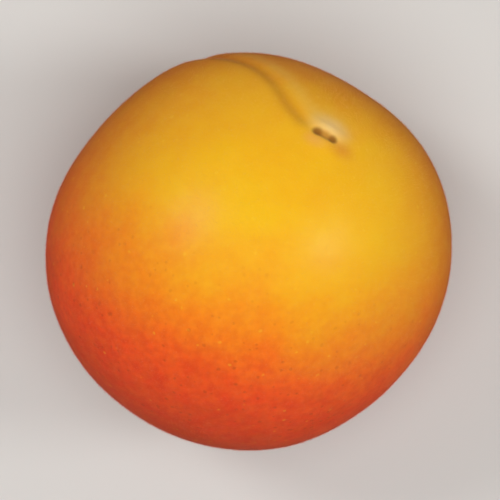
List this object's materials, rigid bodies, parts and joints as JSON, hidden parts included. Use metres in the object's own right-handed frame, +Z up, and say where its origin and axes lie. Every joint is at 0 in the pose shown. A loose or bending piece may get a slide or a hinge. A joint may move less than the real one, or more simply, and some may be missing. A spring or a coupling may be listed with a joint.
{
  "type": "apricot",
  "caption": "Whole ripe apricot without a stalk, with a suture groove, a stem cavity and a style scar, lying on a small flat spot.",
  "frame": {"origin": "middle of the flat spot that the fruit rests on, straight below its centre of mass", "axes": "+Z up; the apex is tipped 38 degrees from +Z towards 59 degrees round from +X; the suture faces -X and +Y, a little downward, and the stem cavity faces -X, -Y and down"},
  "size_m": [0.0481, 0.0472, 0.047],
  "materials": {
    "skin": "satin, with a soft down; yellow-orange turning to a red blush on one side"
  },
  "bodies": {
    "root": {"apricot": "skin"}
  },
  "joints": []
}
